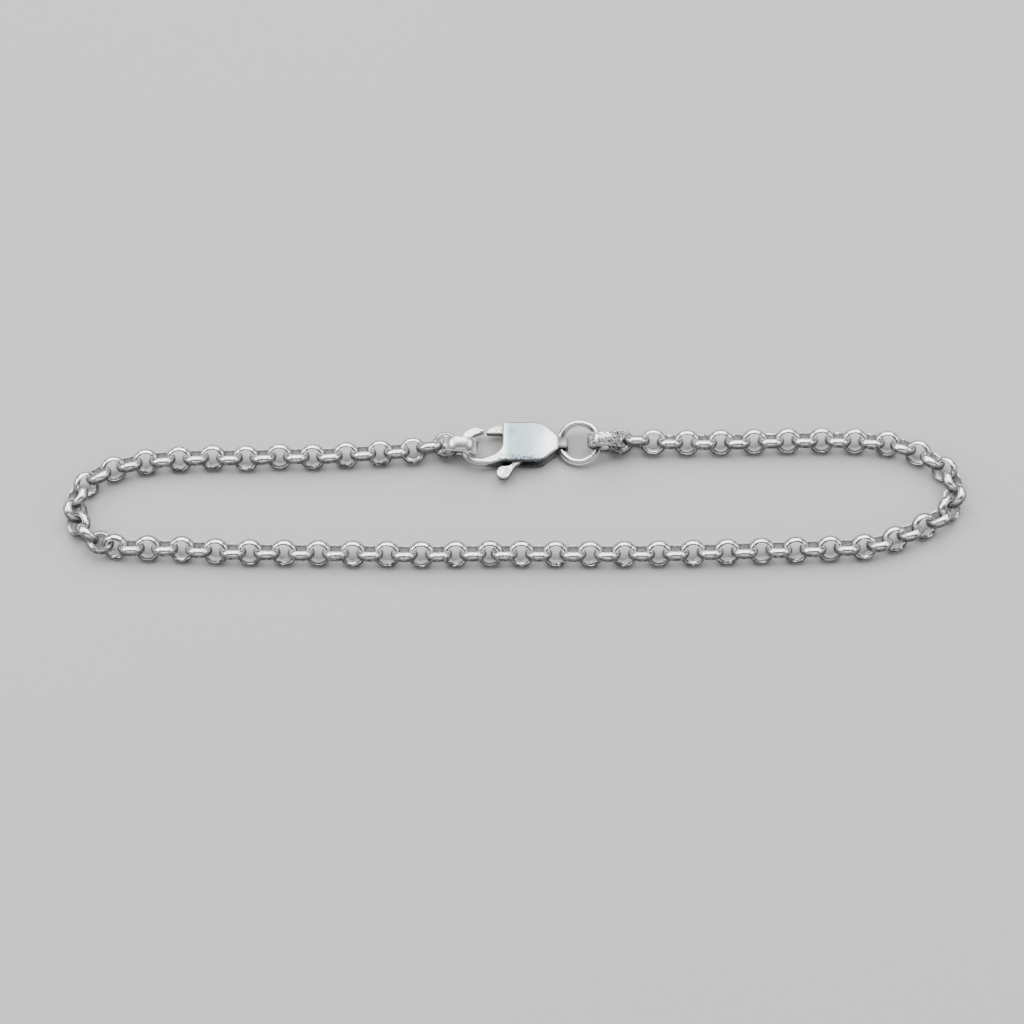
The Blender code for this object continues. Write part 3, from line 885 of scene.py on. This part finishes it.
def rod(radius, depth, thick):
    """An upright rod about the lever's pin, at half the clasp's height."""
    return rest_place(
        added(
            bpy.ops.mesh.primitive_cylinder_add,
            vertices=32, radius=radius, depth=depth, location=PIVOT + UP * thick / 2,
        )
    )


def bar(points, thickness):
    """A round bar along these points, its thickness times each point's own share."""
    guide = outline_curve(points, False)
    guide.data.dimensions = "3D"
    guide.data.bevel_depth = thickness / 2
    guide.data.bevel_resolution = 6
    guide.data.use_fill_caps = True
    return as_mesh(guide)


def rounded(obj, width, segments):
    """Rounds the sharp edges."""
    sharp = math.radians(40)
    return applied(obj, "BEVEL", width=width, segments=segments, limit_method="ANGLE", angle_limit=sharp)


def in_mm(points):
    return [tuple(value * MM for value in point) for point in points]


def body_outline(sizes):
    """The plates from above, anticlockwise from the bail."""
    corner = 0.34 * MM
    left, back = -sizes.half_length, sizes.half_width
    return (
        in_mm(TAPER_BACK_MM)
        + arc((left + corner, back - corner), corner, 90, 180, 6)
        + in_mm(ROOT_MM)
        + in_mm(TAPER_FRONT_MM)
    )


def smooth_bar(points, count):
    """More points along a smooth curve through these, which are in mm with a share of the bar's thickness."""
    rows = np.array(points) * MM
    length = float(np.linalg.norm(np.diff(rows, axis=0), axis=1).sum())
    return [(x, y, z, share / MM) for x, y, z, share in smooth_line(rows, length / count)]


def build_clasp_body(context):
    """Two plates joined by the pin, a slot between them for the lever, the hook and the bail with its eye."""
    sizes = context.scene.bracelet_clasp
    material = satin_plate(context.scene.bracelet_looks)
    thick = sizes.thickness
    body = plate(body_outline(sizes), 0, thick, sizes.edge)
    slope(body, sizes)
    combined(body, block(SLOT_MM, thick), "DIFFERENCE")
    bail = rounded(block(BAIL_MM, thick), BAIL_ROUNDING, 5)
    core = plate(in_mm(CORE_MM), CORE_BOTTOM, thick - CORE_BELOW_TOP)
    combined(core, bail, "UNION")
    combined(body, core, "UNION")
    combined(body, rounded(block(EYE_MM, thick), EYE_ROUNDING, 4), "DIFFERENCE")
    hook = bar(smooth_bar(HOOK_MM, HOOK_STEPS), sizes.hook_wire)
    flatten_tip(hook)
    combined(body, hook, "UNION")
    combined(body, rod(PIN_RADIUS, thick * 0.6, thick), "UNION")
    body.data.transform(Matrix.Translation(CLASP_AT))
    flat_faces(close_up(body))
    finished(body, "clasp_plates", material, ["clasp_body"], angle=0)


def flatten_tip(hook):
    """Hammers the hook's last stretch flat, above and below."""
    behind, bend, length = 0.3 * MM, -7.2 * MM, 1.1 * MM
    middle, round_half, thinner = 1.16 * MM, 0.50 * MM, 0.18 * MM
    for vertex in hook.data.vertices:
        if vertex.co.y > behind:
            half = round_half - thinner * smooth_step((vertex.co.x - bend) / length)
            vertex.co.z = middle + min(half, max(-half, vertex.co.z - middle))


def slope(body, sizes):
    """Lets the plates thin out towards the bail, and the root towards the hook."""
    start, end, drop = 1.30 * MM, 3.00 * MM, 0.22 * MM
    root, thin, top, bottom = -2.90 * MM, -5.00 * MM, 0.40 * MM, 0.75 * MM
    edit(body)
    for where in (start, (start + end) / 2, root, -3.4 * MM, -3.9 * MM, -4.4 * MM):
        bpy.ops.mesh.select_all(action="SELECT")
        bpy.ops.mesh.bisect(plane_co=(where, 0, 0), plane_no=(1, 0, 0))
    done()
    for vertex in body.data.vertices:
        share = smooth_step((vertex.co.x - start) / (end - start))
        thinner = smooth_step((vertex.co.x - root) / (thin - root))
        if vertex.co.z > sizes.thickness / 2:
            vertex.co.z -= drop * share + top * thinner
        else:
            vertex.co.z += bottom * thinner
    edit(body)
    bpy.ops.mesh.select_all(action="SELECT")
    bpy.ops.mesh.vert_connect_nonplanar(angle_limit=math.radians(0.5))
    done()


def lever_outline(sizes):
    """Gate along the back, arm down past the pin, and round thumb tab in front, anticlockwise from above."""
    back = sizes.half_width - 0.22 * MM
    inner = back - 0.92 * MM
    tip = -4.70 * MM
    nose = [(1.25, 0), (0.90, 0.05), (0.58, 0.17), (0.30, 0.34), (0.10, 0.54), (0, 0.74)]
    px, py = PIVOT.x, PIVOT.y
    arm = 0.80 * MM
    return (
        [(px + arm, py - arm / 2), (px + arm, py + arm / 2)]
        + [(px + 0.27 * MM, inner + 0.31 * MM), (px - arm, back)]
        + [(tip + along * MM, back - down * MM) for along, down in nose]
        + [(tip + 0.02 * MM, inner), (-3.00 * MM, inner), (px - arm, py + arm), (px - arm, py - arm / 2)]
        + in_mm([(-1.85, -2.00), (-2.02, -2.42), (-2.30, -2.66)])
        + arc(TAB_AT, TAB_RADIUS, 80, 325, 24)
        + in_mm([(-2.08, -3.40), (-1.86, -2.98), (-1.55, -2.62), (-1.15, -2.34)])
    )


def build_clasp_lever(context):
    """Gate, arm and thumb tab, turning on the pin between the plates."""
    sizes = context.scene.bracelet_clasp
    material = pitted_silver(context.scene.bracelet_looks, depth=0.45)
    lever = plate(lever_outline(sizes), LEVER_BOTTOM, LEVER_TOP, LEVER_EDGE)
    combined(lever, rod(BORE_RADIUS, sizes.thickness, sizes.thickness), "DIFFERENCE")
    lever.data.transform(Matrix.Translation(CLASP_AT))
    flat_faces(close_up(lever))
    finished(lever, "clasp_gate_lever", material, ["clasp_lever"], "lever", angle=0)


def build_stage(context):
    """A pale floor, a dim room, soft lights and the camera."""
    floor = added(bpy.ops.mesh.primitive_plane_add, size=FLOOR_SIZE)
    floor.name = "floor"
    floor.data.materials.append(floor_paint(context.scene.bracelet_looks))

    world = bpy.data.worlds.new("dim room")
    context.scene.world = world
    world.use_nodes = True
    room = world.node_tree.nodes["Background"]
    room.inputs["Color"].default_value = ROOM_COLOUR
    room.inputs["Strength"].default_value = ROOM_STRENGTH

    for name, (at, size, power) in SOFTBOXES.items():
        lamp = added(bpy.ops.object.light_add, type="AREA", location=at)
        lamp.name = name
        lamp.data.shape = "RECTANGLE"
        lamp.data.size, lamp.data.size_y = size
        lamp.data.energy = power
        lamp.rotation_euler = (-Vector(at)).to_track_quat("-Z", "Y").to_euler()

    camera = added(bpy.ops.object.camera_add, location=CAMERA_AT)
    camera.rotation_euler = (CAMERA_TILT, 0, 0)
    camera.data.lens = CAMERA_LENS
    camera.data.sensor_width = CAMERA_SENSOR
    camera.data.clip_start = CAMERA_NEAR
    context.scene.camera = camera


class BRACELET_OT_chain(bpy.types.Operator):
    """Models both halves of the chain"""

    bl_idname = "bracelet.chain"
    bl_label = "Chain"

    def execute(self, context):
        build_chain(context)
        return {"FINISHED"}


class BRACELET_OT_end_rings(bpy.types.Operator):
    """Models the two wide rings that end the chain"""

    bl_idname = "bracelet.end_rings"
    bl_label = "End rings"

    def execute(self, context):
        build_end_rings(context)
        return {"FINISHED"}


class BRACELET_OT_jump_ring(bpy.types.Operator):
    """Models the jump ring between the clasp and the right end ring"""

    bl_idname = "bracelet.jump_ring"
    bl_label = "Jump ring"

    def execute(self, context):
        build_jump_ring(context)
        return {"FINISHED"}


class BRACELET_OT_clasp_body(bpy.types.Operator):
    """Models the clasp's plates, hook and bail"""

    bl_idname = "bracelet.clasp_body"
    bl_label = "Clasp body"

    def execute(self, context):
        build_clasp_body(context)
        return {"FINISHED"}


class BRACELET_OT_clasp_lever(bpy.types.Operator):
    """Models the clasp's lever"""

    bl_idname = "bracelet.clasp_lever"
    bl_label = "Clasp lever"

    def execute(self, context):
        build_clasp_lever(context)
        return {"FINISHED"}


class BRACELET_OT_stage(bpy.types.Operator):
    """Adds the floor, the lights and the camera"""

    bl_idname = "bracelet.stage"
    bl_label = "Stage"

    def execute(self, context):
        build_stage(context)
        return {"FINISHED"}


class BRACELET_PT_panel(bpy.types.Panel):
    """Lists the bracelet's sizes and pieces"""

    bl_idname = "BRACELET_PT_panel"
    bl_label = "Link bracelet"
    bl_space_type = "VIEW_3D"
    bl_region_type = "UI"
    bl_category = "Bracelet"

    def draw(self, context):
        scene = context.scene
        for group in (scene.bracelet_chain, scene.bracelet_rings, scene.bracelet_clasp, scene.bracelet_looks):
            box = self.layout.box()
            for name in type(group).__annotations__:
                box.prop(group, name)
        for operator in OPERATORS:
            self.layout.operator(operator.bl_idname)


OPERATORS = (
    BRACELET_OT_stage,
    BRACELET_OT_chain,
    BRACELET_OT_end_rings,
    BRACELET_OT_jump_ring,
    BRACELET_OT_clasp_body,
    BRACELET_OT_clasp_lever,
)
GROUPS = {
    "bracelet_chain": ChainSizes,
    "bracelet_rings": RingSizes,
    "bracelet_clasp": ClaspSizes,
    "bracelet_looks": SilverLooks,
}


def register():
    for group in GROUPS.values():
        bpy.utils.register_class(group)
    for name, group in GROUPS.items():
        setattr(bpy.types.Scene, name, PointerProperty(type=group))
    for operator in OPERATORS:
        bpy.utils.register_class(operator)
    bpy.utils.register_class(BRACELET_PT_panel)


def unregister():
    bpy.utils.unregister_class(BRACELET_PT_panel)
    for operator in reversed(OPERATORS):
        bpy.utils.unregister_class(operator)
    for name in GROUPS:
        delattr(bpy.types.Scene, name)
    for group in reversed(GROUPS.values()):
        bpy.utils.unregister_class(group)


def main():
    register()
    bpy.ops.bracelet.stage()
    bpy.ops.bracelet.chain()
    bpy.ops.bracelet.end_rings()
    bpy.ops.bracelet.jump_ring()
    bpy.ops.bracelet.clasp_body()
    bpy.ops.bracelet.clasp_lever()
    deselect_all()


if __name__ == "__main__":
    main()
